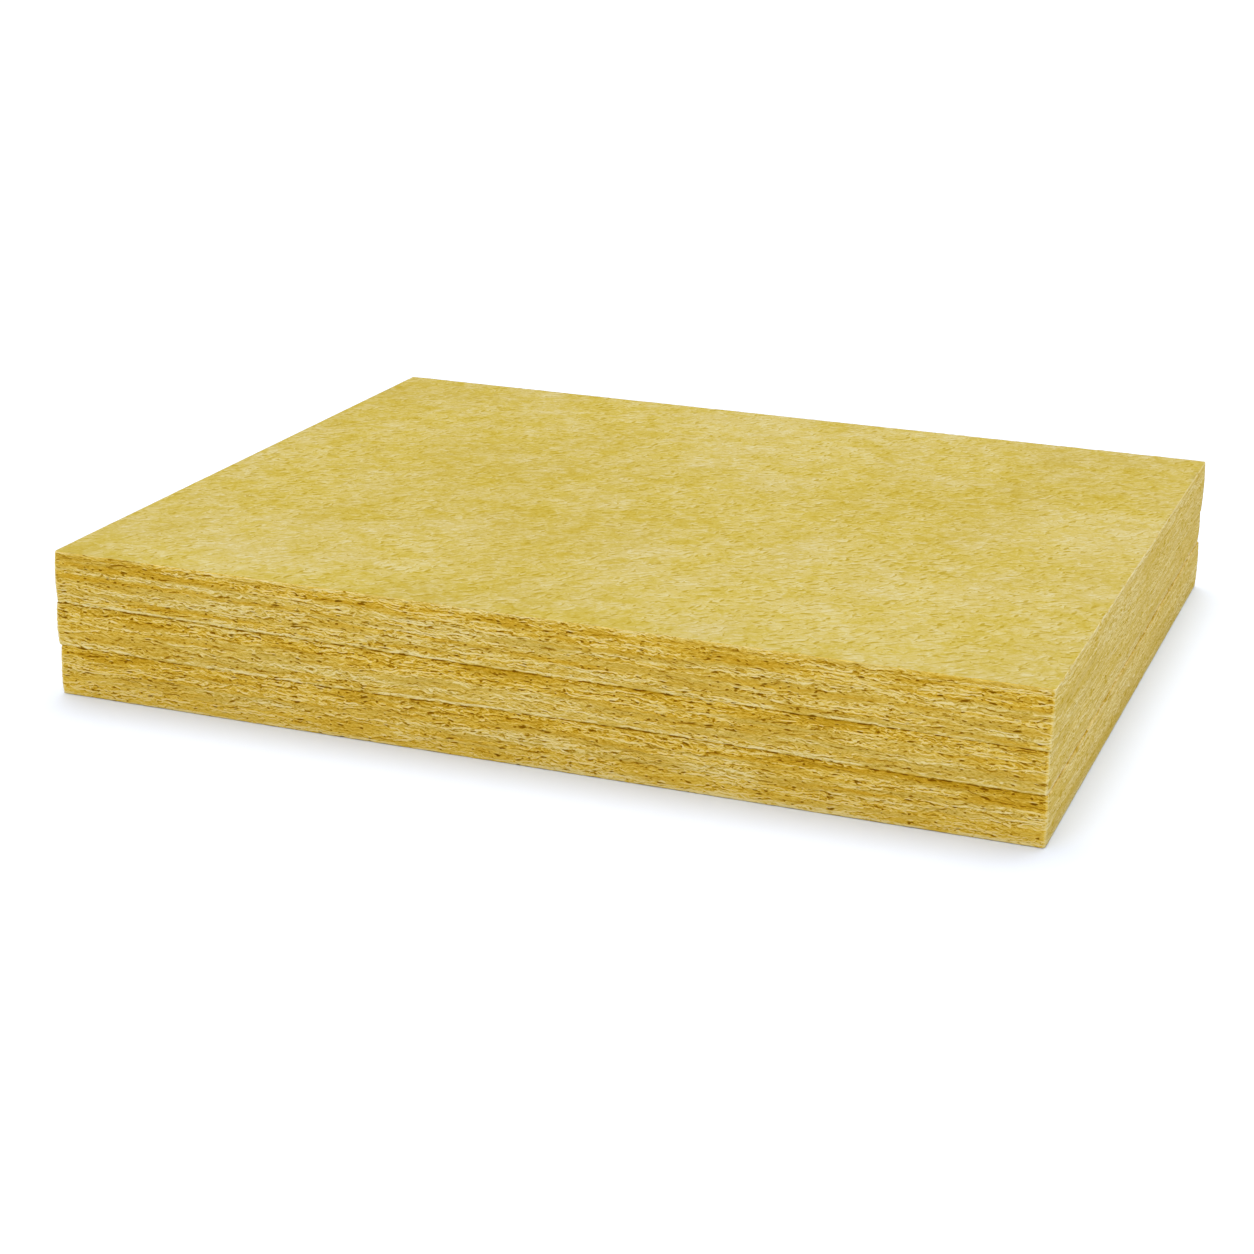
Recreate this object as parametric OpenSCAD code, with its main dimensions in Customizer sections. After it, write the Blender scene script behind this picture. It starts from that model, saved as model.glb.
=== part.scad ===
// Three boards of bonded mineral wool, laid flat on one another as they come off the pallet.
// The origin is the middle of the bottom board's underside. X runs along the boards'
// length, Y across them from front to back, and Z up through the stack.

/* [Board] */
// Length of a board
board_l = 1200; // [600:10:2400]
// Width of a board
board_w = 1000; // [400:10:1500]

/* [Thickness] */
// Thickness of the bottom board
bottom_t = 60; // [30:5:200]
// Thickness of the middle board
middle_t = 50; // [30:5:200]
// Thickness of the top board
top_t = 70; // [30:5:200]

/* [Sawn edge] */
// How far the edge springs out at half its height, once the saw has freed the wool
edge_swell = 1.2; // [0.5:0.1:2]
// Radius of the arris between the edge and the upper face
upper_arris_r = 2; // [0.5:0.5:3]
// Radius of the arris between the edge and the lower face, which the stack bears down on
lower_arris_r = 2.5; // [0.5:0.5:3]
// Radius of the upright corner between two edges
corner_r = 5; // [5:1:20]

/* [Lie of the stack] */
// How far the middle board lies to the right of the bottom one
middle_x = -2; // [-20:0.5:20]
// How far the middle board lies behind the bottom one
middle_y = -0.5; // [-20:0.5:20]
// Turn of the middle board on the bottom one, in degrees
middle_turn = -0.03; // [-1:0.01:1]
// How far the top board lies to the right of the bottom one
top_x = -1; // [-20:0.5:20]
// How far the top board lies behind the bottom one
top_y = -1; // [-20:0.5:20]
// Turn of the top board on the bottom one, in degrees
top_turn = 0.05; // [-1:0.01:1]

/* [Hidden] */
$fa = 0.5;
$fs = 0.4;

// Heights at which the upper two boards lie
middle_z = bottom_t;
top_z = middle_z + middle_t;

// Yellow of phenolic-bonded wool, each board its own shade
bottom_colour = "#cba64c";
middle_colour = "#d3b159";
top_colour = "#dcc66f";

// How deep an arris of radius r lies inside the face and the swell. Just under its radius, so
// that it crosses both instead of grazing them.
function arris_inset(r) = 0.98 * r;

// Radius of the arc that springs out by edge_swell over a thickness of t
function swell_r(t) = (pow(t / 2, 2) + pow(edge_swell, 2)) / (2 * edge_swell);

// Slope of the line from the swell's centre, at half the thickness, to the centre of an arris
function arris_slope(t, r) = asin((t / 2 - arris_inset(r)) / (swell_r(t) - arris_inset(r)));

// What an arris takes off the square edge above the middle of the thickness. x runs outwards
// from the axis of the upright corner.
module arris_waste(t, r) {
    slope = arris_slope(t, r);
    clear = 2 * r;
    translate([corner_r - swell_r(t), 0])
        translate((swell_r(t) - arris_inset(r)) * [cos(slope), sin(slope)])
            difference() {
                polygon([[0, 0], [0, clear], [clear, clear], [clear, clear * tan(slope)]]);
                circle(r = r);
            }
}

// Section of a sawn edge, standing on the lower face
module edge_section(t) {
    translate([0, t / 2]) difference() {
        intersection() {
            translate([corner_r - swell_r(t), 0]) circle(r = swell_r(t));
            translate([0, -t / 2]) square([corner_r, t]);
        }
        arris_waste(t, upper_arris_r);
        mirror([0, 1]) arris_waste(t, lower_arris_r);
    }
}

// One board on its lower face: the slab inside the corners, and on each of its four sides the
// edge and the upright corner that follows it
module board(t) {
    slab = [board_l - 2 * corner_r, board_w - 2 * corner_r];
    translate([0, 0, t / 2]) cube([slab[0], slab[1], t], center = true);
    for (side = [0:3]) {
        reach = slab[side % 2];
        run = slab[(side + 1) % 2];
        rotate(90 * side) translate([reach / 2, 0, 0]) {
            rotate([90, 0, 0]) linear_extrude(height = run, center = true) edge_section(t);
            translate([0, run / 2, 0]) rotate_extrude(angle = 90) edge_section(t);
        }
    }
}

module board_bottom() {
    color(bottom_colour) board(bottom_t);
}

module board_middle() {
    color(middle_colour)
        translate([middle_x, middle_y, middle_z]) rotate(middle_turn) board(middle_t);
}

module board_top() {
    color(top_colour)
        translate([top_x, top_y, top_z]) rotate(top_turn) board(top_t);
}

board_bottom();
board_middle();
board_top();
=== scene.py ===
"""Three boards of bonded mineral wool, laid flat on one another on a pale floor.

Each board is modelled whole over its plain solid. The block is cut to a grid, its arrises are
eased and its seams follow the sag of the stack. Then its felt and its sawn flakes are raised.
"""

import math
from types import SimpleNamespace

import bmesh
import bpy
from mathutils import Matrix, Vector


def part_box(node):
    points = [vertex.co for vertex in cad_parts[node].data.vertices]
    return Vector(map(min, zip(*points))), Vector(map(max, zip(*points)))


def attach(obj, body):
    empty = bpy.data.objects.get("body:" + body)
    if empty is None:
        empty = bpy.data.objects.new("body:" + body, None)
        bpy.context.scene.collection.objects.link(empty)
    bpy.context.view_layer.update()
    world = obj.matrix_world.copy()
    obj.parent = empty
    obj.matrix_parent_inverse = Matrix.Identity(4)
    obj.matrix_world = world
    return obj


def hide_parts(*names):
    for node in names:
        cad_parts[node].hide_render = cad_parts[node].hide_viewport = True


MM = 0.001  # one millimetre, in metres

# The boards, from the floor up, and whether the lower and the upper face of each show
BOARDS = (
    ("board_bottom", True, False),
    ("board_middle", False, False),
    ("board_top", False, True),
)

# Arrises: their radius, how much of its roundness the arris on the floor keeps, and how upright
# the way out of a spot is where the felt begins, where it is full, and where a face is flat
ARRIS = 1.0 * MM
PRESSED = 0.35
FELT_BEGINS = {"From Min": 0.3, "From Max": 0.8}
FLAT = 0.9

# Edges: how far they spring out at half height, how much more an upright corner is rounded, and
# the power that makes the nearness to an edge 1 at it and 0 a few millimetres in
EDGE_SWELL = 1.2 * MM
CORNER_ROUND = 0.9 * MM
EDGE_POWER = 400

# Grid of a board's mesh: cuts along and across it, cuts more along its edges, how high a row of
# an edge is, and how many cells of a face that rests on another are joined into one
CUTS_ALONG = (7, 14)
CUTS_ACROSS = (7, 12)
EDGE_CUTS = 2
ROW = 1.15 * MM
REST_CELLS = 5

# Seams, numbered from the floor up. Each lies above its level by a lift, a tilt along the boards,
# and a swing of one wave with its crest at a place along them. The wave has a length, and lags
# by a share of the way across. A seam also wanders, in runs of so long and by so much, and the
# next seam's noise is read so many runs off.
SEAM_SAG = {
    1: (2.1 * MM, 0.0, 2.4 * MM, -120 * MM),
    2: (2.9 * MM, -0.005, 0.3 * MM, 0.0),
}
SAG_LENGTH = 930 * MM
SAG_LAG = 0.5
SEAM_WANDER = (34 * MM, 3.0 * MM)
WANDER_APART = 100.0

# Where a seam gapes: the run of its noise, how many runs in each seam starts, and the values of
# the noise between which the seam opens
SEAM_RUN = 16 * MM
SEAM_STARTS = {1: 34.3, 2: 10.0}
GAPING = {"From Min": 0.46, "From Max": 0.64}

# No wool lies lower than the floor. Sideways the limit is far off.
LOWEST = (-10.0, -10.0, 0.0)

# Waves that lift the layers of the wool: how wide and how high a wave is, and its rise. The
# ruffle is finer, and lifts only the flakes, the fibre and the short tears.
LAYER_WAVES = (
    (70 * MM, 30 * MM, 6 * MM),
    (16 * MM, 8.5 * MM, 4.8 * MM),
)
RUFFLE = (
    (5 * MM, 4 * MM, 1.9 * MM),
)

# Flakes: how long and thick they are, how much longer on the ends, how far they stand out, what
# share of that is kept on the ends, and how thick the lip of a flake is that gets painted light
# above it and painted shade under it
FLAKE_LENGTH = 6 * MM
FLAKE_THICKNESS = 2.6 * MM
END_STRETCH = 1.7
FLAKE_RELIEF = 2.5 * MM
END_RELIEF = 0.35
LIP_LIGHT_SPAN = 0.9 * MM

# Tears: the length and height of the cell that each has to itself, the share of cells that are
# torn, the most that a tear leans, and the pit and the lip over it. Of each of these, how far up
# its middle lies, and half its length and thickness. A fleck is a tear with no lip.
LONG_TEARS = (
    28 * MM, 6.0 * MM, 0.5, 0.3,
    (0.0, 5.0 * MM, 1.15 * MM), (2.4 * MM, 8.5 * MM, 0.95 * MM),
)
SHORT_TEARS = (
    10 * MM, 4.6 * MM, 0.38, 0.5,
    (0.0, 2.3 * MM, 1.15 * MM), (2.2 * MM, 3.8 * MM, 0.85 * MM),
)
FELT_TEARS = (
    17 * MM, 14 * MM, 0.75, 1.6,
    (0.0, 7.0 * MM, 2.4 * MM), (4.2 * MM, 7.5 * MM, 1.8 * MM),
)
END_FLECKS = (
    30 * MM, 18 * MM, 0.6, 0.6,
    (0.0, 10 * MM, 4.5 * MM),
)

# A tear's measures are divided by a chance number between these two. It is torn through where the
# chance of its cell is under this part of the share, and less and less so up to the share. The
# ends read their tears so many metres further along, and so differ from the sides.
TEAR_SIZES = {"To Min": 0.8, "To Max": 1.8}
TORN_THROUGH = 0.3
END_SHIFT = 5.3

# The tears of a sawn edge: of each kind, what its pit and its lip add to the tone, and what they
# add to the relief, as shares of that of the flakes. The pit's dark is painted shade in its
# hollow, and the pale lip is partly pale fibre and partly painted light on its upper side. Then
# what a fleck adds to the tone and to the paleness.
SAWN_TEARS = (
    (LONG_TEARS, (-0.75, 0.35), (-0.6, 0.35)),
    (SHORT_TEARS, (-0.6, 0.25), (-0.4, 0.2)),
)
FLECK_TONE = -0.3
FLECK_PALENESS = -0.8

# Strands: length and thickness of the grain that they wander through, and half their thickness.
# A single fibre is far too fine to show, so each strand stands for a bundle of them. In half
# thicknesses: how far under it its shade lies, from where to where the two fade in, and the step
# over which the slope of the grain is read. Then the detail of the grain.
LONG_STRANDS = (34 * MM, 6.0 * MM, 1.0 * MM)
SHORT_STRANDS = (14 * MM, 4.1 * MM, 0.84 * MM)
FELT_CURLS = (26 * MM, 14 * MM, 2.1 * MM)
STRAND_SHADE = 2.3
STRAND_FADE = (1.2, 0.6)
STRAND_STEP = 0.2
STRAND_DETAIL = 0.5

# The strands of a sawn edge: of each kind, what it adds to the tone, and what its shade adds
SAWN_STRANDS = (
    (LONG_STRANDS, 0.39, -0.42),
    (SHORT_STRANDS, 0.31, -0.3),
)

# Felt: the size and height of its tufts, how far its fringe wanders over an arris and in what
# run, and the way that its curls and tears run, turned from the boards' length
TUFT = 24 * MM
TUFT_RELIEF = 1.2 * MM
FRINGE = 1.6 * MM
FRINGE_RUN = 9 * MM
FELT_TURN = math.radians(42)

# Grains of the felt's surface: size, detail, roughness and distortion of each noise
FELT_GRAINS = {
    "cloud": (280 * MM, 3.0, 0.5, 0.0),
    "tuft": (16 * MM, 2.0, 0.6, 0.8),
    "grain": (5 * MM, 2.0, 0.6, 0.5),
    "blotch": (120 * MM, 3.0, 0.6, 0.0),
    "mottle": (46 * MM, 1.0, 0.5, 0.7),
}

# What the felt's tone, paleness and height start from, and what each grain adds to them
FELT_TONE = (0.51, {"cloud": 0.8, "tuft": 1.0, "grain": 0.8, "mottle": 0.55})
FELT_PALENESS = (0.4, {"blotch": 1.9, "tuft": 1.2, "mottle": 1.3})
FELT_HEIGHT = (0.0, {"tuft": 1.2 * MM, "grain": 0.5 * MM})

# What the pits and lips of the felt's tears and its curls and their shade add to the tone. The
# first two are strongest where it is flecked, and the others where it is matted.
FELT_PIT = -1.15
FELT_LIP = 0.2
CURL = 0.15
CURL_SHADE = -0.75
FLECKED = {"From Min": 0.6, "From Max": 0.42, "To Min": 0.2, "To Max": 1.2}
MATTED = {"From Min": 0.42, "From Max": 0.58}

# Grains of a sawn edge: length, thickness and detail of each kind of streak. The first lie on
# the ruffled flakes, and the others on the layers.
FLAKE_GRAINS = {
    "flake": (FLAKE_LENGTH, FLAKE_THICKNESS, 2.0),
    "fibre": (2.5 * MM, 1.2 * MM, 2.0),
}
LAYER_GRAINS = {
    "band": (240 * MM, 8 * MM, 3.0),
    "drift": (80 * MM, 5 * MM, 2.0),
    "stir": (110 * MM, 8 * MM, 1.0),
    "broken": (26 * MM, 5 * MM, 2.0),
}

# What a sawn edge's tone, height and change of paleness start from, and what each grain adds to
# them. Then the paleness about which it changes, and the share of the change on the ends.
SAWN_TONE = (0.425, {"flake": 0.4, "band": 0.12, "fibre": 0.22, "drift": 0.12})
SAWN_HEIGHT = (0.0, {"flake": 1.0 * MM, "fibre": 0.3 * MM})
SAWN_CHANGE = (0.0, {"band": 3.2, "drift": 1.2})
SAWN_PALENESS = 0.15
END_CHANGE = 0.85

# How the grains break up a sawn edge: how strongly the painted light and shade on the lips of
# flakes show, and where the strands and their shade show
LIP_LIGHT_STRENGTH = {"From Min": 0.35, "From Max": 0.65, "To Min": 0.5, "To Max": 1.7}
OPEN_WOOL = {"From Min": 0.38, "From Max": 0.56}
SHADED = {"From Min": 0.46, "From Max": 0.6}

# The pale lip over a seam: how high above the board's seat it begins, how ragged its upper side
# is and how that fades, where the lip is whole, and what it adds to the paleness and the tone
LIP_BEGINS = {"From Min": 0.6 * MM, "From Max": 1.6 * MM}
LIP_RAGGED = 8.0 * MM
LIP_FADES = {"From Min": -0.5 * MM, "From Max": -1.5 * MM}
LIP_WHOLE = {"From Min": 0.4, "From Max": 0.54}
LIP_PALENESS = 0.3
LIP_TONE = 0.42

# The dark line under a seam, a painted shadow where it gapes: how far below the board's crown it
# begins, and what it adds to the tone. Then what an upright corner adds.
SEAM_SHADOW = {"From Min": 1.8 * MM, "From Max": 1.1 * MM}
SEAM_SHADOW_TONE = -0.75
CORNER_TONE = 0.3

# Zones of a sawn edge: what each is read from, where it begins and where it is full, how strong
# it is all over the ends, or None where they are as the sides, and what it adds to the paleness
# and to the tone. The wool is golden under an upper face and pale at heart, golden again at the
# foot of the stack, painted lighter at its very foot as light from the floor, and pale on the
# brink where the felt begins.
ZONES = (
    ("depth", 16 * MM, 3 * MM, 0.2, -0.25, -0.06),
    ("depth", 15 * MM, 26 * MM, 0.5, 0.4, 0.03),
    ("layer", 26 * MM, 18 * MM, 0.0, -0.6, 0.06),
    # Painted light from the floor, on the lowest few millimetres
    ("height", 7 * MM, 1 * MM, None, 0.0, 0.12),
    ("height", 175 * MM, 178 * MM, None, 0.5, 0.25),
)

# The painted shade in the pits is deeper where the wool is golden, and shallow close under the
# topmost felt
GOLDEN_PIT_SHADE = {"To Min": 1.25, "To Max": 0.55}
TOP_PIT_SHADE = {"From Min": 162 * MM, "From Max": 174 * MM, "To Min": 1.0, "To Max": 0.35}

# Shades of the wool at these tones, from dark hollows where shade is painted to pale fibre: golden
# wool, then pale wool
TONES = (0.0, 0.18, 0.3, 0.42, 0.56, 0.68, 0.8, 0.95)
FELT_SHADES = (
    ("#a9912f", "#b39b3b", "#b6a045", "#b9a54c", "#bfab5c", "#c0ae63", "#c4b570", "#c7b877"),
    ("#ac9545", "#b09b4e", "#b49f55", "#b7a55e", "#bdab6a", "#bfae71", "#c4b57d", "#c6ba89"),
)
SIDE_SHADES = (
    ("#875806", "#a9790b", "#ba9019", "#cc9e29", "#dbb543", "#e2c050", "#e5c668", "#ecd284"),
    ("#8b600e", "#ab811f", "#b89533", "#c7a744", "#d7b95e", "#dec36d", "#e2cb80", "#ebd898"),
)
END_SHADES = (
    ("#c59f34", "#d1af44", "#d7b751", "#dcbd5e", "#e3c871", "#e7cd7c", "#edd78e", "#f0db96"),
    ("#cba94a", "#cfb056", "#d7b861", "#dbbf6d", "#e2c97f", "#e5ce89", "#ead79b", "#efdea7"),
)

# Camera, from the middle of the stack's underside
VIEW_AZIMUTH = math.radians(20.309)
VIEW_ELEVATION = math.radians(18.607)
VIEW_ROLL = math.radians(1.116)
VIEW_DISTANCE = 3377.9 * MM
VIEW_RIGHT = -56.3 * MM
VIEW_UP = 11.1 * MM
LENS = 74.56
SENSOR = 36.0

# Softboxes: the strength of each, and its spread, lean and azimuth in degrees. Then the room's
# own light, a little cool, and the floor's width and colour.
SOFTBOXES = (
    ("overhead softbox", 2.6, 52, 16, 16),
    ("front softbox", 1.3, 60, 41, 188),
)
ROOM_COLOUR = (0.965, 1, 1.08, 1)
ROOM_STRENGTH = 0.28
FLOOR_SIZE = 60
FLOOR_COLOUR = "#e8eef9"


def linear(hex_colour):
    """An sRGB hex colour as linear red, green, blue and alpha."""
    parts = [int(hex_colour[i:i + 2], 16) / 255 for i in (1, 3, 5)]
    return [p / 12.92 if p <= 0.04045 else ((p + 0.055) / 1.055) ** 2.4 for p in parts] + [1.0]


def add(tree, kind, inputs=None, **settings):
    """Add a node. Settings are its properties; inputs are values, or sockets that feed them."""
    node = tree.nodes.new(kind)
    for key, value in settings.items():
        setattr(node, key, value)
    for key, value in (inputs or {}).items():
        if isinstance(value, bpy.types.NodeSocket):
            tree.links.new(value, node.inputs[key])
        else:
            node.inputs[key].default_value = value
    return node


# ---------------------------------------------------------------- camera, floor and light


def place_camera():
    """The camera stands off to the right of the front and looks down on the stack."""
    data = bpy.data.cameras.new("camera")
    data.lens = LENS
    data.sensor_width = SENSOR
    data.clip_end = 100
    camera = bpy.data.objects.new("camera", data)
    bpy.context.scene.collection.objects.link(camera)
    back = Vector((
        math.sin(VIEW_AZIMUTH) * math.cos(VIEW_ELEVATION),
        -math.cos(VIEW_AZIMUTH) * math.cos(VIEW_ELEVATION),
        math.sin(VIEW_ELEVATION),
    ))
    level = Vector((0, 0, 1)).cross(back).normalized()
    plumb = back.cross(level)
    right = math.cos(VIEW_ROLL) * level + math.sin(VIEW_ROLL) * plumb
    up = back.cross(right)
    turn = Matrix((right, up, back)).transposed().to_4x4()
    place = back * VIEW_DISTANCE + right * VIEW_RIGHT + up * VIEW_UP
    camera.matrix_world = Matrix.Translation(place) @ turn
    bpy.context.scene.camera = camera


def lay_floor():
    """A wide white floor, matt as paper."""
    bpy.ops.mesh.primitive_plane_add(size=FLOOR_SIZE)
    floor = bpy.context.object
    floor.name = "floor"
    paper = bpy.data.materials.new("white backdrop paper")
    paper.use_nodes = True
    tree = paper.node_tree
    tree.nodes.clear()
    shader = add(tree, "ShaderNodeBsdfPrincipled", {
        "Base Color": linear(FLOOR_COLOUR), "Roughness": 1.0, "Specular IOR Level": 0.0,
    })
    add(tree, "ShaderNodeOutputMaterial", {"Surface": shader.outputs[0]})
    floor.data.materials.append(paper)


def set_lights():
    """A broad softbox overhead and a little behind, and a weaker one in front, in a pale room."""
    world = bpy.data.worlds.new("pale room")
    bpy.context.scene.world = world
    world.use_nodes = True
    room = world.node_tree.nodes["Background"]
    room.inputs["Color"].default_value = ROOM_COLOUR
    room.inputs["Strength"].default_value = ROOM_STRENGTH
    for name, energy, spread, lean, azimuth in SOFTBOXES:
        data = bpy.data.lights.new(name, "SUN")
        data.energy = energy
        data.angle = math.radians(spread)
        lamp = bpy.data.objects.new(name, data)
        bpy.context.scene.collection.objects.link(lamp)
        lamp.rotation_euler = (math.radians(-lean), 0, math.radians(azimuth))
    bpy.context.scene.view_settings.view_transform = "Standard"


# ---------------------------------------------------------------- the block of a board


def select_edges(board, chosen):
    """In edit mode, select just the edges for which chosen(middle, run, length) is true."""
    mesh = bmesh.from_edit_mesh(board.data)
    bpy.ops.mesh.select_all(action="DESELECT")
    for edge in mesh.edges:
        start, end = (v.co for v in edge.verts)
        run = end - start
        edge.select_set(chosen((start + end) / 2, run, run.length))
    bmesh.update_edit_mesh(board.data)


def cut_block(name, low, high, faces_show):
    """A block at its size and place, cut to a grid: fine on its four edges, coarse elsewhere."""
    size = high - low
    bpy.ops.object.select_all(action="DESELECT")
    bpy.ops.mesh.primitive_cube_add(size=1, location=(low + high) / 2, scale=size)
    board = bpy.context.object
    board.name = name
    bpy.ops.object.transform_apply(location=True, rotation=True, scale=True)
    bpy.ops.object.mode_set(mode="EDIT")
    bpy.ops.mesh.select_mode(type="EDGE")
    close = 0.1 * ARRIS
    long_edge = 3 * ARRIS

    # A cut beside each arris
    for axis in range(3):
        normal = [float(i == axis) for i in range(3)]
        for place in (low[axis] + ARRIS, high[axis] - ARRIS):
            bpy.ops.mesh.select_all(action="SELECT")
            point = [place if i == axis else 0 for i in range(3)]
            bpy.ops.mesh.bisect(plane_co=point, plane_no=normal)

    # Cells along and across the board
    cells = []
    for axis, cuts in ((0, CUTS_ALONG), (1, CUTS_ACROSS)):
        for count in cuts:
            select_edges(board, lambda middle, run, length:
                         abs(run[axis]) > 0.9 * length and length > long_edge)
            bpy.ops.mesh.subdivide(number_cuts=count)
        cells.append((cuts[0] + 1) * (cuts[1] + 1))
    steps = [(size[axis] - 2 * ARRIS) / cells[axis] for axis in (0, 1)]

    def joined(middle, run, level):
        """Whether an edge of a resting face lies between two cells that are joined."""
        if abs(middle.z - level) > close:
            return False
        across = 0 if abs(run[1]) > abs(run[0]) else 1
        lines = (middle[across] - low[across] - ARRIS) / steps[across]
        return 0.5 < lines < cells[across] - 0.5 and round(lines) % REST_CELLS != 0

    for level, shows in zip((low.z, high.z), faces_show):
        if not shows:
            select_edges(board, lambda middle, run, length: joined(middle, run, level))
            bpy.ops.mesh.dissolve_edges(use_verts=True)

    # Finer cells on the four sawn edges, and their rows
    for axis in (0, 1):
        other = 1 - axis
        select_edges(board, lambda middle, run, length:
                     abs(run[axis]) > 0.9 * length and length > long_edge
                     and min(middle[other] - low[other], high[other] - middle[other]) < close)
        bpy.ops.mesh.subdivide(number_cuts=EDGE_CUTS)
    select_edges(board, lambda middle, run, length:
                 abs(run[2]) > 0.9 * length and length > long_edge)
    bpy.ops.mesh.subdivide(number_cuts=int((size[2] - 2 * ARRIS) / ROW))
    bpy.ops.object.mode_set(mode="OBJECT")
    return board


# ---------------------------------------------------------------- patterns in the wool


def carried(tree, place, waves):
    """A place in the wool as waves of its layers carry it."""
    for across, up, rise in waves:
        wide = add(tree, "ShaderNodeVectorMath", {0: place, 1: (1 / across, 1 / across, 1 / up)},
                   operation="MULTIPLY")
        wave = add(tree, "ShaderNodeTexNoise", {
            "Vector": wide.outputs[0], "Scale": 1.0, "Detail": 1.0,
        })
        lift = add(tree, "ShaderNodeMath", {0: wave.outputs[0], 1: rise, 2: -rise / 2},
                   operation="MULTIPLY_ADD")
        raised = add(tree, "ShaderNodeCombineXYZ", {"Z": lift.outputs[0]})
        place = add(tree, "ShaderNodeVectorMath", {0: place, 1: raised.outputs[0]},
                    operation="ADD").outputs[0]
    return place


def streaks(tree, layered, length, thickness, detail, up=0.0):
    """Streaks along the layers, 0 to 1, read a little above or below a place."""
    fine = add(tree, "ShaderNodeVectorMath", {
        0: layered, 1: (1 / length, 1 / length / END_STRETCH, 1 / thickness),
        2: (0, 0, up / thickness),
    }, operation="MULTIPLY_ADD")
    streak = add(tree, "ShaderNodeTexNoise", {
        "Vector": fine.outputs[0], "Scale": 1.0, "Detail": detail, "Roughness": 0.6,
    })
    return streak.outputs[0]


def run_round(tree, layered, end):
    """A place on the sawn edges as how far along it is, and how high."""
    parts = add(tree, "ShaderNodeSeparateXYZ", {0: layered})
    along = add(tree, "ShaderNodeMath", {0: parts.outputs["X"], 1: parts.outputs["Y"]},
                operation="ADD")
    shifted = add(tree, "ShaderNodeMath", {0: end, 1: END_SHIFT, 2: along.outputs[0]},
                  operation="MULTIPLY_ADD")
    along_up = add(tree, "ShaderNodeCombineXYZ", {
        "X": shifted.outputs[0], "Y": parts.outputs["Z"],
    })
    return along_up.outputs[0]


def tears(tree, along_up, length, height, share, lean, *spots):
    """Scattered tears in the wool: each of their spots, 0 to 1."""
    cells = add(tree, "ShaderNodeVectorMath", {0: along_up, 1: (1 / length, 1 / height, 0)},
                operation="MULTIPLY")
    nearest = add(tree, "ShaderNodeTexVoronoi", {"Vector": cells.outputs[0], "Scale": 1.0},
                  voronoi_dimensions="2D", feature="F1")
    away = add(tree, "ShaderNodeVectorMath", {0: cells.outputs[0], 1: nearest.outputs["Position"]},
               operation="SUBTRACT")
    reach = add(tree, "ShaderNodeVectorMath", {0: away.outputs[0], 1: (length, height, 0)},
                operation="MULTIPLY")
    chance = add(tree, "ShaderNodeSeparateXYZ", {0: nearest.outputs["Color"]})
    angle = add(tree, "ShaderNodeMath", {0: chance.outputs[1], 1: lean, 2: -lean / 2},
                operation="MULTIPLY_ADD")
    turned = add(tree, "ShaderNodeVectorRotate", {
        "Vector": reach.outputs[0], "Angle": angle.outputs[0],
    }, rotation_type="Z_AXIS")
    smaller = add(tree, "ShaderNodeMapRange", {"Value": chance.outputs[2], **TEAR_SIZES})
    sized = add(tree, "ShaderNodeVectorMath", {0: turned.outputs[0], "Scale": smaller.outputs[0]},
                operation="SCALE")
    torn = add(tree, "ShaderNodeMapRange", {
        "Value": chance.outputs[0], "From Min": share, "From Max": TORN_THROUGH * share,
    })
    shapes = []
    for up, half_length, half_thickness in spots:
        shifted = add(tree, "ShaderNodeVectorMath", {
            0: sized.outputs[0], 1: (1 / half_length, 1 / half_thickness, 0),
            2: (0, -up / half_thickness, 0),
        }, operation="MULTIPLY_ADD")
        far = add(tree, "ShaderNodeVectorMath", {0: shifted.outputs[0]}, operation="LENGTH")
        spot = add(tree, "ShaderNodeMapRange", {
            "Value": far.outputs["Value"], "From Min": 1.0, "From Max": 0.5,
        })
        shape = add(tree, "ShaderNodeMath", {0: spot.outputs[0], 1: torn.outputs[0]},
                    operation="MULTIPLY")
        shapes.append(shape.outputs[0])
    return shapes


def strands(tree, layered, length, thickness, half):
    """Strands that wander along the layers, and the line of shade under each, 0 to 1."""
    step = STRAND_STEP * half
    outer, inner = (fade * half / step for fade in STRAND_FADE)
    grain = streaks(tree, layered, length, thickness, STRAND_DETAIL)
    higher = streaks(tree, layered, length, thickness, STRAND_DETAIL, step)

    # A strand runs where the grain is one half, and that lies so many steps up from here
    short_of = add(tree, "ShaderNodeMath", {0: 0.5, 1: grain}, operation="SUBTRACT")
    slope = add(tree, "ShaderNodeMath", {0: higher, 1: grain}, operation="SUBTRACT")
    steps = add(tree, "ShaderNodeMath", {0: short_of.outputs[0], 1: slope.outputs[0]},
                operation="DIVIDE")
    shapes = []
    for up in (0.0, STRAND_SHADE * half):
        far = add(tree, "ShaderNodeMath", {0: steps.outputs[0], 1: up / step},
                  operation="SUBTRACT")
        away = add(tree, "ShaderNodeMath", {0: far.outputs[0]}, operation="ABSOLUTE")
        shape = add(tree, "ShaderNodeMapRange", {
            "Value": away.outputs[0], "From Min": outer, "From Max": inner,
        })
        shapes.append(shape.outputs[0])
    return shapes


def summed(tree, grains, start, weights):
    """A start plus each grain's distance from one half, times its weight."""
    total = start
    for name, weight in weights.items():
        shifted = add(tree, "ShaderNodeMath", {0: grains[name], 1: weight, 2: -0.5 * weight},
                      operation="MULTIPLY_ADD")
        total = add(tree, "ShaderNodeMath", {0: total, 1: shifted.outputs[0]},
                    operation="ADD").outputs[0]
    return total


def laid_over(tree, ground, parts):
    """A ground with each part's weight added where the part is 1."""
    for part, weight in parts:
        ground = add(tree, "ShaderNodeMath", {0: part, 1: weight, 2: ground},
                     operation="MULTIPLY_ADD").outputs[0]
    return ground


# ---------------------------------------------------------------- the shape of a board


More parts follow.
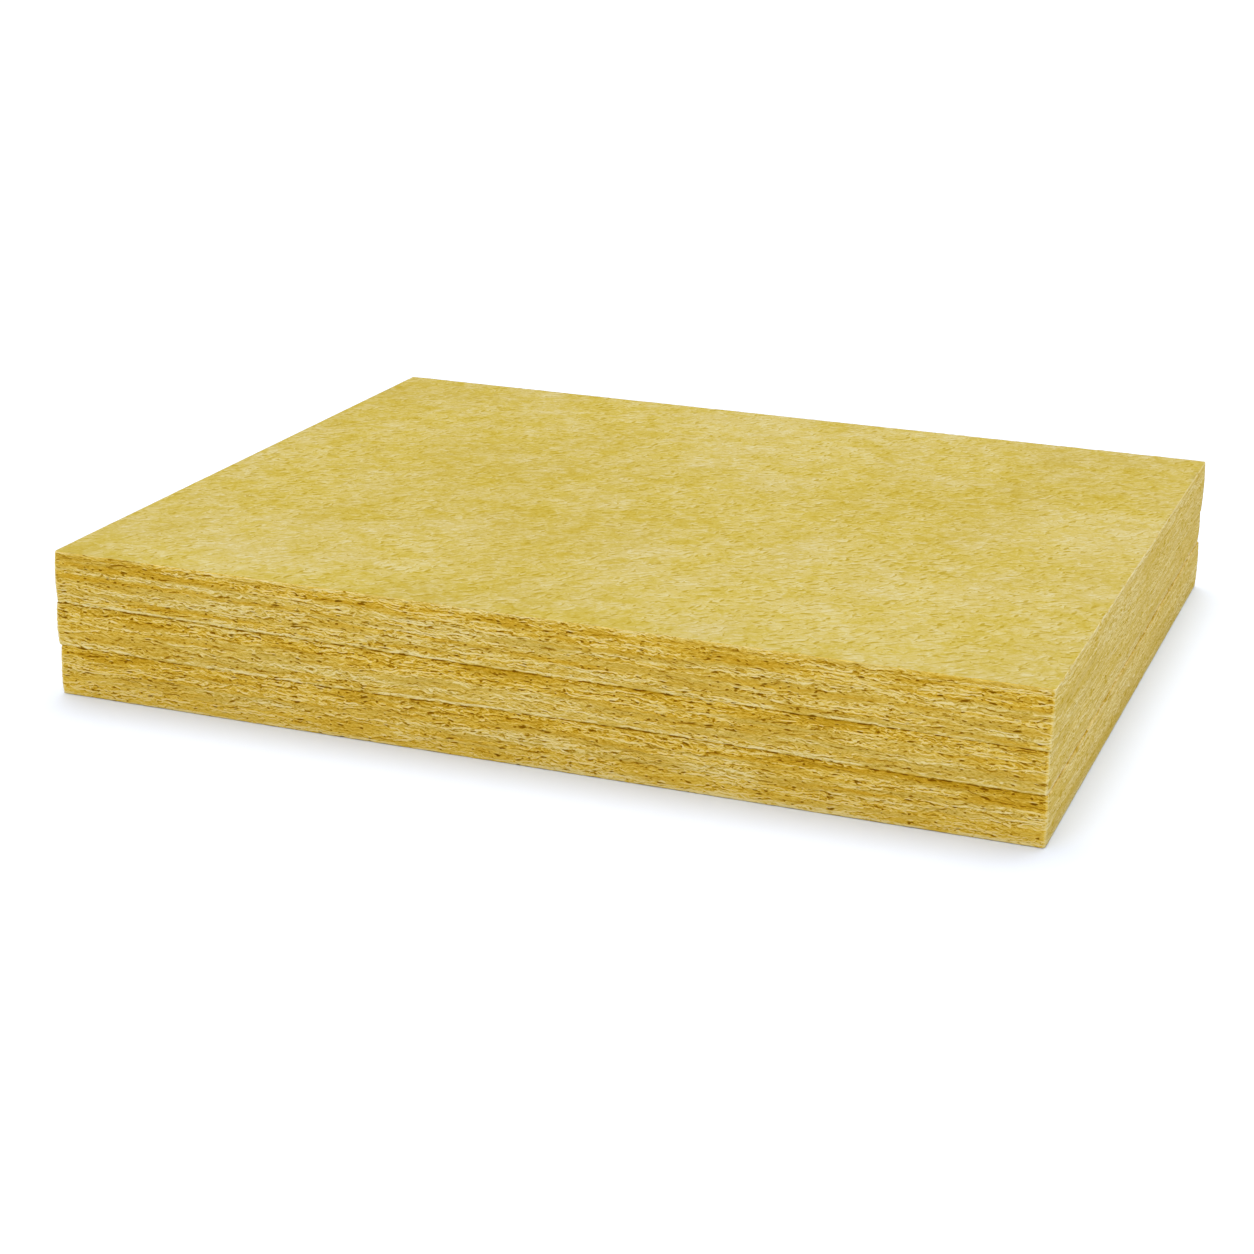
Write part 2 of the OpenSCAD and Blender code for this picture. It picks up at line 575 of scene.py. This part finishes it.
def read_spot(tree, low, high):
    """Where a spot of a board lies, and which way is out of the board there."""
    middle = (low + high) / 2
    inner = (high - low) / 2 - Vector((ARRIS, ARRIS, ARRIS))
    place = add(tree, "GeometryNodeInputPosition").outputs[0]

    # The core of each arris, and the way out of it
    above = add(tree, "ShaderNodeVectorMath", {0: place, 1: middle - inner}, operation="MAXIMUM")
    core = add(tree, "ShaderNodeVectorMath", {0: above.outputs[0], 1: middle + inner},
               operation="MINIMUM")
    reach = add(tree, "ShaderNodeVectorMath", {0: place, 1: core.outputs[0]}, operation="SUBTRACT")
    out = add(tree, "ShaderNodeVectorMath", {0: reach.outputs[0]}, operation="NORMALIZE")
    ways = add(tree, "ShaderNodeSeparateXYZ", {0: out.outputs[0]})
    upright = add(tree, "ShaderNodeMath", {0: ways.outputs["Z"]}, operation="ABSOLUTE")
    turned_up = add(tree, "ShaderNodeMath", {0: ways.outputs["Z"], 1: 0.0},
                    operation="GREATER_THAN")
    endways = add(tree, "ShaderNodeMath", {0: ways.outputs["X"]}, operation="ABSOLUTE")
    sideways = add(tree, "ShaderNodeMath", {0: ways.outputs["Y"]}, operation="ABSOLUTE")
    flat = add(tree, "ShaderNodeMath", {0: upright.outputs[0], 1: FLAT}, operation="GREATER_THAN")

    # How much it is an arris, 0 where only one way leads out to 1 halfway between two
    level = add(tree, "ShaderNodeMath", {0: endways.outputs[0], 1: sideways.outputs[0]},
                operation="MAXIMUM")
    widest = add(tree, "ShaderNodeMath", {0: level.outputs[0], 1: upright.outputs[0]},
                 operation="MAXIMUM")
    arris = add(tree, "ShaderNodeMapRange", {
        "Value": widest.outputs[0], "From Min": 1.0, "From Max": math.sqrt(0.5),
    })

    # How near the core lies to the board's edges, and to the upright corners between them
    from_middle = add(tree, "ShaderNodeVectorMath", {0: core.outputs[0], 1: middle},
                      operation="SUBTRACT")
    share = add(tree, "ShaderNodeVectorMath", {
        0: from_middle.outputs[0], 1: (1 / inner.x, 1 / inner.y, 0),
    }, operation="MULTIPLY")
    either_side = add(tree, "ShaderNodeVectorMath", {0: share.outputs[0]}, operation="ABSOLUTE")
    near = add(tree, "ShaderNodeVectorMath", {
        0: either_side.outputs[0], 1: (EDGE_POWER, EDGE_POWER, EDGE_POWER),
    }, operation="POWER")
    which_side = add(tree, "ShaderNodeVectorMath", {0: share.outputs[0]}, operation="SIGN")
    edgeward = add(tree, "ShaderNodeVectorMath", {0: near.outputs[0], 1: which_side.outputs[0]},
                   operation="MULTIPLY")
    nearness = add(tree, "ShaderNodeSeparateXYZ", {0: near.outputs[0]})
    corner = add(tree, "ShaderNodeMath", {0: nearness.outputs["X"], 1: nearness.outputs["Y"]},
                 operation="MINIMUM")

    # Whether it belongs to an end of the board, and not to a side
    faces_end = add(tree, "ShaderNodeMath", {0: endways.outputs[0], 1: sideways.outputs[0]},
                    operation="GREATER_THAN")
    nearer_end = add(tree, "ShaderNodeMath", {
        0: nearness.outputs["X"], 1: nearness.outputs["Y"],
    }, operation="GREATER_THAN")
    end = add(tree, "ShaderNodeMix", {
        0: flat.outputs[0], 2: faces_end.outputs[0], 3: nearer_end.outputs[0],
    })

    # How high it lies: up the board from 0 to 1, over its seat and under its crown
    heights = add(tree, "ShaderNodeSeparateXYZ", {0: place})
    rise = add(tree, "ShaderNodeMapRange", {
        "Value": heights.outputs["Z"], "From Min": low.z, "From Max": high.z,
    })
    seat = add(tree, "ShaderNodeMath", {0: heights.outputs["Z"], 1: low.z}, operation="SUBTRACT")
    crown = add(tree, "ShaderNodeMath", {0: high.z, 1: heights.outputs["Z"]}, operation="SUBTRACT")
    return SimpleNamespace(
        place=place, core=core.outputs[0], reach=reach.outputs[0], out=out.outputs[0],
        upright=upright.outputs[0], turned_up=turned_up.outputs[0], flat=flat.outputs[0],
        arris=arris.outputs[0], edgeward=edgeward.outputs[0], corner=corner.outputs[0],
        end=end.outputs[0], rise=rise.outputs[0], seat=seat.outputs[0], crown=crown.outputs[0],
    )


def seam_sag(tree, place, seam):
    """How far a seam lies above its level, where the wool has bedded down unevenly."""
    if seam not in SEAM_SAG:
        return 0.0
    lift, tilt, swing, crest = SEAM_SAG[seam]
    parts = add(tree, "ShaderNodeSeparateXYZ", {0: place})
    along = add(tree, "ShaderNodeMath", {0: parts.outputs["Y"], 1: SAG_LAG, 2: parts.outputs["X"]},
                operation="MULTIPLY_ADD")
    phase = add(tree, "ShaderNodeMath", {
        0: along.outputs[0], 1: 2 * math.pi / SAG_LENGTH, 2: -2 * math.pi * crest / SAG_LENGTH,
    }, operation="MULTIPLY_ADD")
    wave = add(tree, "ShaderNodeMath", {0: phase.outputs[0]}, operation="COSINE")
    swung = add(tree, "ShaderNodeMath", {0: wave.outputs[0], 1: swing, 2: lift},
                operation="MULTIPLY_ADD")
    tilted = add(tree, "ShaderNodeMath", {0: parts.outputs["X"], 1: tilt, 2: swung.outputs[0]},
                 operation="MULTIPLY_ADD")
    run, reach = SEAM_WANDER
    level = add(tree, "ShaderNodeCombineXYZ", {
        "X": parts.outputs["X"], "Y": parts.outputs["Y"], "Z": WANDER_APART * seam * run,
    })
    wander = add(tree, "ShaderNodeTexNoise", {"Vector": level.outputs[0], "Scale": 1 / run})
    wandered = add(tree, "ShaderNodeMath", {0: wander.outputs[0], 1: reach, 2: -reach / 2},
                   operation="MULTIPLY_ADD")
    sag = add(tree, "ShaderNodeMath", {0: wandered.outputs[0], 1: tilted.outputs[0]},
              operation="ADD")
    return sag.outputs[0]


def seam_opening(tree, along_up, seam):
    """How far a seam stands open along its run, 0 where the wool closes it to 1."""
    run = add(tree, "ShaderNodeVectorMath", {
        0: along_up, 1: (1 / SEAM_RUN, 0, 0), 2: (SEAM_STARTS[seam], 0, 0),
    }, operation="MULTIPLY_ADD")
    gape = add(tree, "ShaderNodeTexNoise", {
        "Vector": run.outputs[0], "Scale": 1.0, "Detail": 2.0,
    }, noise_dimensions="2D")
    opening = add(tree, "ShaderNodeMapRange", {"Value": gape.outputs[0], **GAPING})
    return opening.outputs[0]


def wool_relief(tree, spot, faceward, faces_show):
    """How far the wool stands out: flakes on the sawn edges, tufts and a fringe on the felt."""
    layered = carried(tree, spot.place, LAYER_WAVES)
    ruffled = carried(tree, layered, RUFFLE)

    # Flakes, pits and lips, lower on the ends
    flake = streaks(tree, ruffled, FLAKE_LENGTH, FLAKE_THICKNESS, 1.0)
    flaky = add(tree, "ShaderNodeMath", {0: flake, 1: 0.5}, operation="SUBTRACT").outputs[0]
    for wavy, (kind, _, relief) in zip((layered, ruffled), SAWN_TEARS):
        pit_and_lip = tears(tree, run_round(tree, wavy, spot.end), *kind)
        flaky = laid_over(tree, flaky, zip(pit_and_lip, relief))
    flake_height = add(tree, "ShaderNodeMix", {
        0: spot.end, 2: FLAKE_RELIEF, 3: END_RELIEF * FLAKE_RELIEF,
    })
    flake_relief = add(tree, "ShaderNodeMath", {0: flaky, 1: flake_height.outputs[0]},
                       operation="MULTIPLY")

    # Tufts, on the faces that show
    tuft = add(tree, "ShaderNodeTexNoise", {
        "Vector": spot.place, "Scale": 1 / TUFT, "Detail": 2.0, "Roughness": 0.6,
    })
    tuft_relief = add(tree, "ShaderNodeMath", {
        0: tuft.outputs[0], 1: TUFT_RELIEF, 2: -TUFT_RELIEF,
    }, operation="MULTIPLY_ADD")
    open_face = add(tree, "ShaderNodeMix", {
        0: spot.turned_up, 2: float(faces_show[0]), 3: float(faces_show[1]),
    })
    face_relief = add(tree, "ShaderNodeMath", {0: tuft_relief.outputs[0], 1: open_face.outputs[0]},
                      operation="MULTIPLY")
    relief = add(tree, "ShaderNodeMix", {
        0: faceward, 2: flake_relief.outputs[0], 3: face_relief.outputs[0],
    })

    # The fringe, on the arrises of those faces
    fray = streaks(tree, spot.place, FRINGE_RUN, FRINGE_RUN, 1.0)
    frayed = add(tree, "ShaderNodeMath", {0: fray, 1: FRINGE, 2: -FRINGE / 2},
                 operation="MULTIPLY_ADD")
    free = add(tree, "ShaderNodeMath", {0: spot.arris, 1: open_face.outputs[0]},
               operation="MULTIPLY")
    fringe = add(tree, "ShaderNodeMath", {
        0: frayed.outputs[0], 1: free.outputs[0], 2: relief.outputs[0],
    }, operation="MULTIPLY_ADD")
    return fringe.outputs[0]


def shape_wool(board, low, high, seams, faces_show):
    """Ease a board's arrises, bend it to its seams, raise its felt and its flakes."""
    tree = bpy.data.node_groups.new(board.name + "_relief", "GeometryNodeTree")
    for way in ("INPUT", "OUTPUT"):
        tree.interface.new_socket(name="Geometry", in_out=way, socket_type="NodeSocketGeometry")
    start = add(tree, "NodeGroupInput")
    spot = read_spot(tree, low, high)

    # A seam gapes in places, and the arris on the floor is pressed nearly square
    along_up = run_round(tree, spot.place, spot.end)
    openings = [
        eased if shows else seam_opening(tree, along_up, seam)
        for seam, shows, eased in zip(seams, faces_show, (PRESSED, 1.0))
    ]
    rounding = add(tree, "ShaderNodeMix", {0: spot.turned_up, 2: openings[0], 3: openings[1]})
    beside = add(tree, "ShaderNodeMath", {0: 1.0, 1: spot.flat}, operation="SUBTRACT")
    under_seam = add(tree, "ShaderNodeMath", {0: openings[1], 1: float(not faces_show[1])},
                     operation="MULTIPLY")
    gape = add(tree, "ShaderNodeMath", {0: under_seam.outputs[0], 1: beside.outputs[0]},
               operation="MULTIPLY")

    # Only the upper face's felt comes round its arris
    faceward = add(tree, "ShaderNodeMapRange", {"Value": spot.upright, **FELT_BEGINS},
                   interpolation_type="SMOOTHSTEP")
    under_felt = add(tree, "ShaderNodeMath", {0: spot.flat, 1: float(faces_show[0])},
                     operation="MULTIPLY")
    upper_felt = add(tree, "ShaderNodeMath", {0: faceward.outputs[0], 1: float(faces_show[1])},
                     operation="MULTIPLY")
    felt = add(tree, "ShaderNodeMix", {
        0: spot.turned_up, 2: under_felt.outputs[0], 3: upper_felt.outputs[0],
    })

    # The relief over the rounded arris, and what fills the arris up again where it is shut
    relief = wool_relief(tree, spot, faceward.outputs[0], faces_show)
    reached = add(tree, "ShaderNodeMath", {0: relief, 1: ARRIS}, operation="ADD")
    raised = add(tree, "ShaderNodeVectorMath", {0: spot.out, "Scale": reached.outputs[0]},
                 operation="SCALE")
    rounded = add(tree, "ShaderNodeVectorMath", {0: spot.out, "Scale": ARRIS}, operation="SCALE")
    squared = add(tree, "ShaderNodeVectorMath", {0: spot.reach, 1: rounded.outputs[0]},
                  operation="SUBTRACT")
    shut = add(tree, "ShaderNodeMath", {0: 1.0, 1: rounding.outputs[0]}, operation="SUBTRACT")
    filled = add(tree, "ShaderNodeVectorMath", {0: squared.outputs[0], "Scale": shut.outputs[0]},
                 operation="SCALE")

    # The springing of the sawn edges, drawn in towards the faces, and more at the corners
    lean = add(tree, "ShaderNodeMath", {0: spot.rise, 1: 2.0, 2: -1.0}, operation="MULTIPLY_ADD")
    lean_square = add(tree, "ShaderNodeMath", {0: lean.outputs[0], 1: 2.0}, operation="POWER")
    sprung = add(tree, "ShaderNodeMath", {0: lean_square.outputs[0], 1: -EDGE_SWELL},
                 operation="MULTIPLY")
    inset = add(tree, "ShaderNodeMath", {0: spot.corner, 1: -CORNER_ROUND, 2: sprung.outputs[0]},
                operation="MULTIPLY_ADD")
    drawn_in = add(tree, "ShaderNodeVectorMath", {0: spot.edgeward, "Scale": inset.outputs[0]},
                   operation="SCALE")

    # The sag of the seams below and above
    sag = add(tree, "ShaderNodeMix", {
        0: spot.rise,
        2: seam_sag(tree, spot.place, seams[0]),
        3: seam_sag(tree, spot.place, seams[1]),
    })
    sagged = add(tree, "ShaderNodeCombineXYZ", {"Z": sag.outputs[0]})

    moved = spot.core
    for part in (raised, filled, drawn_in, sagged):
        moved = add(tree, "ShaderNodeVectorMath", {0: moved, 1: part.outputs[0]},
                    operation="ADD").outputs[0]
    on_floor = add(tree, "ShaderNodeVectorMath", {0: moved, 1: LOWEST}, operation="MAXIMUM")

    # What the material reads of each spot, and its place before it was moved
    wool = start.outputs[0]
    for name, value in (("felt", felt.outputs[0]), ("gape", gape.outputs[0]), ("end", spot.end),
                        ("corner", spot.corner), ("seat", spot.seat), ("crown", spot.crown)):
        wool = add(tree, "GeometryNodeStoreNamedAttribute",
                   {"Geometry": wool, "Name": name, "Value": value}).outputs[0]
    kept = add(tree, "GeometryNodeStoreNamedAttribute",
               {"Geometry": wool, "Name": "unbent"}, data_type="FLOAT_VECTOR")
    tree.links.new(spot.place, kept.inputs["Value"])
    shaped = add(tree, "GeometryNodeSetPosition",
                 {"Geometry": kept.outputs[0], "Position": on_floor.outputs[0]})
    add(tree, "NodeGroupOutput", {0: shaped.outputs[0]})

    relief_modifier = board.modifiers.new("relief", "NODES")
    relief_modifier.node_group = tree
    bpy.context.view_layer.objects.active = board
    bpy.ops.object.modifier_apply(modifier=relief_modifier.name)
    bpy.data.node_groups.remove(tree)


# ---------------------------------------------------------------- material


def wool_colour(tree, tone, paleness, shades):
    """Wool from its dark hollows, where shade is painted (tone 0), to its pale fibres (tone 1),
    golden or pale.
    """
    colours = []
    for hexes in shades:
        ramp = add(tree, "ShaderNodeValToRGB", {0: tone})
        stops = ramp.color_ramp.elements
        while len(stops) < len(hexes):
            stops.new(0.5)
        for stop, place, shade in zip(stops, TONES, hexes):
            stop.position = place
            stop.color = linear(shade)
        colours.append(ramp.outputs[0])
    colour = add(tree, "ShaderNodeMix", {0: paleness, 6: colours[0], 7: colours[1]},
                 data_type="RGBA")
    return colour.outputs[2]


def felted_face(tree, place):
    """Felt: cloudy blotches, soft tufts, curled fibre and small tears. Colour and height."""
    grains = {}
    for name, (size, detail, roughness, distortion) in FELT_GRAINS.items():
        noise = add(tree, "ShaderNodeTexNoise", {
            "Vector": place, "Scale": 1 / size, "Detail": detail, "Roughness": roughness,
            "Distortion": distortion,
        })
        grains[name] = noise.outputs[0]

    # Curls and tears, read as if the face stood on edge, with its layers running askew
    turned = add(tree, "ShaderNodeVectorRotate", {"Vector": place, "Angle": -FELT_TURN},
                 rotation_type="Z_AXIS")
    pit, lip = tears(tree, turned.outputs[0], *FELT_TEARS)
    ways = add(tree, "ShaderNodeSeparateXYZ", {0: turned.outputs[0]})
    on_edge = add(tree, "ShaderNodeCombineXYZ", {
        "X": ways.outputs["X"], "Y": ways.outputs["Z"], "Z": ways.outputs["Y"],
    })
    curl, shade = strands(tree, on_edge.outputs[0], *FELT_CURLS)
    matted = add(tree, "ShaderNodeMapRange", {"Value": grains["tuft"], **MATTED})
    flecked = add(tree, "ShaderNodeMapRange", {"Value": grains["blotch"], **FLECKED})
    tone = summed(tree, grains, *FELT_TONE)
    for part, mask, weight in (
        (pit, flecked, FELT_PIT), (lip, flecked, FELT_LIP),
        (curl, matted, CURL), (shade, matted, CURL_SHADE),
    ):
        seen = add(tree, "ShaderNodeMath", {0: part, 1: mask.outputs[0]}, operation="MULTIPLY")
        tone = laid_over(tree, tone, ((seen.outputs[0], weight),))
    paleness = summed(tree, grains, *FELT_PALENESS)
    colour = wool_colour(tree, tone, paleness, FELT_SHADES)
    height = summed(tree, grains, *FELT_HEIGHT)
    return colour, height


def seam_marks(tree, broken, seat, crown, end, gape):
    """The broken pale lip over a seam, and the painted shadow, a dark line, under one where it
    gapes, 0 to 1.
    """
    brim = add(tree, "ShaderNodeMath", {0: broken, 1: -LIP_RAGGED, 2: seat},
               operation="MULTIPLY_ADD")
    ragged = add(tree, "ShaderNodeMapRange", {"Value": brim.outputs[0], **LIP_FADES})
    begins = add(tree, "ShaderNodeMapRange", {"Value": seat, **LIP_BEGINS})
    whole = add(tree, "ShaderNodeMath", {0: ragged.outputs[0], 1: begins.outputs[0]},
                operation="MULTIPLY")
    breaks = add(tree, "ShaderNodeMapRange", {"Value": broken, **LIP_WHOLE})
    lip = add(tree, "ShaderNodeMath", {0: whole.outputs[0], 1: breaks.outputs[0]},
              operation="MULTIPLY")
    # Painted shadow: a dark line just under the crown, where the seam gapes
    shadow_band = add(tree, "ShaderNodeMapRange", {"Value": crown, **SEAM_SHADOW})
    seam_shadow = add(tree, "ShaderNodeMath", {0: shadow_band.outputs[0], 1: gape}, operation="MULTIPLY")
    dark = add(tree, "ShaderNodeMix", {0: end, 2: seam_shadow.outputs[0], 3: 0.0})
    return lip.outputs[0], dark.outputs[0]


def sawn_wool(tree, place, seat, crown, end, gape, corner):
    """Wool sawn across: pale strands, and lips partly painted light, over brown pits of painted
    shade, golden under each upper face.
    """
    layered = carried(tree, place, LAYER_WAVES)
    ruffled = carried(tree, layered, RUFFLE)
    grains = {name: streaks(tree, ruffled, *kind) for name, kind in FLAKE_GRAINS.items()}
    for name, kind in LAYER_GRAINS.items():
        grains[name] = streaks(tree, layered, *kind)

    # Painted light and shade: flakes are painted pale on their upper lip, as if lit from above,
    # and dark under it as if in shade, more in some places than in others
    below = streaks(tree, ruffled, *FLAKE_GRAINS["flake"], -LIP_LIGHT_SPAN / 2)
    above = streaks(tree, ruffled, *FLAKE_GRAINS["flake"], LIP_LIGHT_SPAN / 2)
    painted_lip_light = add(tree, "ShaderNodeMath", {0: below, 1: above}, operation="SUBTRACT")
    lit = add(tree, "ShaderNodeMapRange", {"Value": grains["stir"], **LIP_LIGHT_STRENGTH})
    tone = summed(tree, grains, *SAWN_TONE)
    tone = add(tree, "ShaderNodeMath", {0: painted_lip_light.outputs[0], 1: lit.outputs[0], 2: tone},
               operation="MULTIPLY_ADD").outputs[0]
    change = summed(tree, grains, *SAWN_CHANGE)
    calmed = add(tree, "ShaderNodeMix", {0: end, 2: 1.0, 3: END_CHANGE})
    paleness = add(tree, "ShaderNodeMath", {0: change, 1: calmed.outputs[0], 2: SAWN_PALENESS},
                   operation="MULTIPLY_ADD").outputs[0]

    # The seams, with a painted shadow under one where it gapes, and the upright corners
    lip, dark = seam_marks(tree, grains["broken"], seat, crown, end, gape)
    tone = laid_over(tree, tone, ((dark, SEAM_SHADOW_TONE), (lip, LIP_TONE), (corner, CORNER_TONE)))
    paleness = laid_over(tree, paleness, ((lip, LIP_PALENESS),))

    # The zones. Those under the crown and at the foot follow the layers.
    heights = add(tree, "ShaderNodeSeparateXYZ", {0: place})
    waved = add(tree, "ShaderNodeSeparateXYZ", {0: layered})
    lifted = add(tree, "ShaderNodeMath", {0: waved.outputs["Z"], 1: heights.outputs["Z"]},
                 operation="SUBTRACT")
    depth = add(tree, "ShaderNodeMath", {0: crown, 1: lifted.outputs[0]}, operation="SUBTRACT")
    levels = {
        "depth": depth.outputs[0], "layer": waved.outputs["Z"], "height": heights.outputs["Z"],
    }
    for read_from, begins, full, on_ends, paler, lighter in ZONES:
        zone = add(tree, "ShaderNodeMapRange", {
            "Value": levels[read_from], "From Min": begins, "From Max": full,
        })
        if on_ends is not None:
            zone = add(tree, "ShaderNodeMix", {0: end, 2: zone.outputs[0], 3: on_ends})
        tone = laid_over(tree, tone, ((zone.outputs[0], lighter),))
        paleness = laid_over(tree, paleness, ((zone.outputs[0], paler),))

    # Strands, each pale over the broken line of its own shade
    open_wool = add(tree, "ShaderNodeMapRange", {"Value": grains["stir"], **OPEN_WOOL})
    shaded = add(tree, "ShaderNodeMapRange", {"Value": grains["broken"], **SHADED})
    for kind, pale, brown in SAWN_STRANDS:
        line, shade = strands(tree, layered, *kind)
        for part, mask, weight in ((line, open_wool, pale), (shade, shaded, brown)):
            seen = add(tree, "ShaderNodeMath", {0: part, 1: mask.outputs[0]}, operation="MULTIPLY")
            tone = laid_over(tree, tone, ((seen.outputs[0], weight),))

    # Soft golden flecks on the ends
    (golden,) = tears(tree, run_round(tree, layered, end), *END_FLECKS)
    fleck = add(tree, "ShaderNodeMath", {0: golden, 1: end}, operation="MULTIPLY")
    tone = laid_over(tree, tone, ((fleck.outputs[0], FLECK_TONE),))
    paleness = laid_over(tree, paleness, ((fleck.outputs[0], FLECK_PALENESS),))

    # Tears: their pits darkened with painted shade, their lips pale fibre with painted light
    in_gold = add(tree, "ShaderNodeMapRange", {"Value": paleness, **GOLDEN_PIT_SHADE})
    near_top = add(tree, "ShaderNodeMapRange", {"Value": heights.outputs["Z"], **TOP_PIT_SHADE})
    for wavy, (kind, (brown, pale), _) in zip((layered, ruffled), SAWN_TEARS):
        pit, pit_lip = tears(tree, run_round(tree, wavy, end), *kind)
        for part in (in_gold, near_top):
            pit = add(tree, "ShaderNodeMath", {0: pit, 1: part.outputs[0]},
                      operation="MULTIPLY").outputs[0]
        tone = laid_over(tree, tone, ((pit, brown), (pit_lip, pale)))

    side_colour = wool_colour(tree, tone, paleness, SIDE_SHADES)
    end_colour = wool_colour(tree, tone, paleness, END_SHADES)
    colour = add(tree, "ShaderNodeMix", {0: end, 6: side_colour, 7: end_colour}, data_type="RGBA")
    height = summed(tree, grains, *SAWN_HEIGHT)
    softened = add(tree, "ShaderNodeMix", {0: end, 2: 1.0, 3: END_RELIEF})
    scaled = add(tree, "ShaderNodeMath", {0: height, 1: softened.outputs[0]}, operation="MULTIPLY")
    return colour.outputs[2], scaled.outputs[0]


def bonded_wool():
    """Mineral wool: yellow phenolic-bonded fibre, dull as felt, with no gloss at all."""
    wool = bpy.data.materials.new("phenolic-bonded mineral wool")
    wool.use_nodes = True
    tree = wool.node_tree
    tree.nodes.clear()
    place = add(tree, "ShaderNodeAttribute", attribute_name="unbent").outputs["Vector"]
    felt, seat, crown, end, gape, corner = (
        add(tree, "ShaderNodeAttribute", attribute_name=name).outputs["Fac"]
        for name in ("felt", "seat", "crown", "end", "gape", "corner")
    )
    face_colour, face_height = felted_face(tree, place)
    edge_colour, edge_height = sawn_wool(tree, place, seat, crown, end, gape, corner)
    colour = add(tree, "ShaderNodeMix", {0: felt, 6: edge_colour, 7: face_colour},
                 data_type="RGBA")
    height = add(tree, "ShaderNodeMix", {0: felt, 2: edge_height, 3: face_height})
    bump = add(tree, "ShaderNodeBump", {
        "Height": height.outputs[0], "Strength": 1.0, "Distance": 1.0,
    })
    shader = add(tree, "ShaderNodeBsdfPrincipled", {
        "Base Color": colour.outputs[2], "Roughness": 0.95, "Specular IOR Level": 0.0,
        "Normal": bump.outputs[0],
    })
    add(tree, "ShaderNodeOutputMaterial", {"Surface": shader.outputs[0]})
    return wool


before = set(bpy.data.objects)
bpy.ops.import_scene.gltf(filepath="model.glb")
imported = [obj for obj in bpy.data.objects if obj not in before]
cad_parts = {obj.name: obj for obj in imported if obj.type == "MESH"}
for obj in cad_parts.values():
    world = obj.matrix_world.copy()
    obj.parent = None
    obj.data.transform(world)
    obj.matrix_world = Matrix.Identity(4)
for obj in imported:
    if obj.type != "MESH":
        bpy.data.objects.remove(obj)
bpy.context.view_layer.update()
place_camera()
lay_floor()
set_lights()

wool = bonded_wool()
for index, (board_name, *faces_show) in enumerate(BOARDS):
    low, high = (Vector(corner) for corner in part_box(board_name))
    board = cut_block(board_name + "_wool", low, high, faces_show)
    shape_wool(board, low, high, (index, index + 1), faces_show)
    bpy.ops.object.shade_smooth()
    board.data.materials.append(wool)
    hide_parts(board_name)
    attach(board, "root")
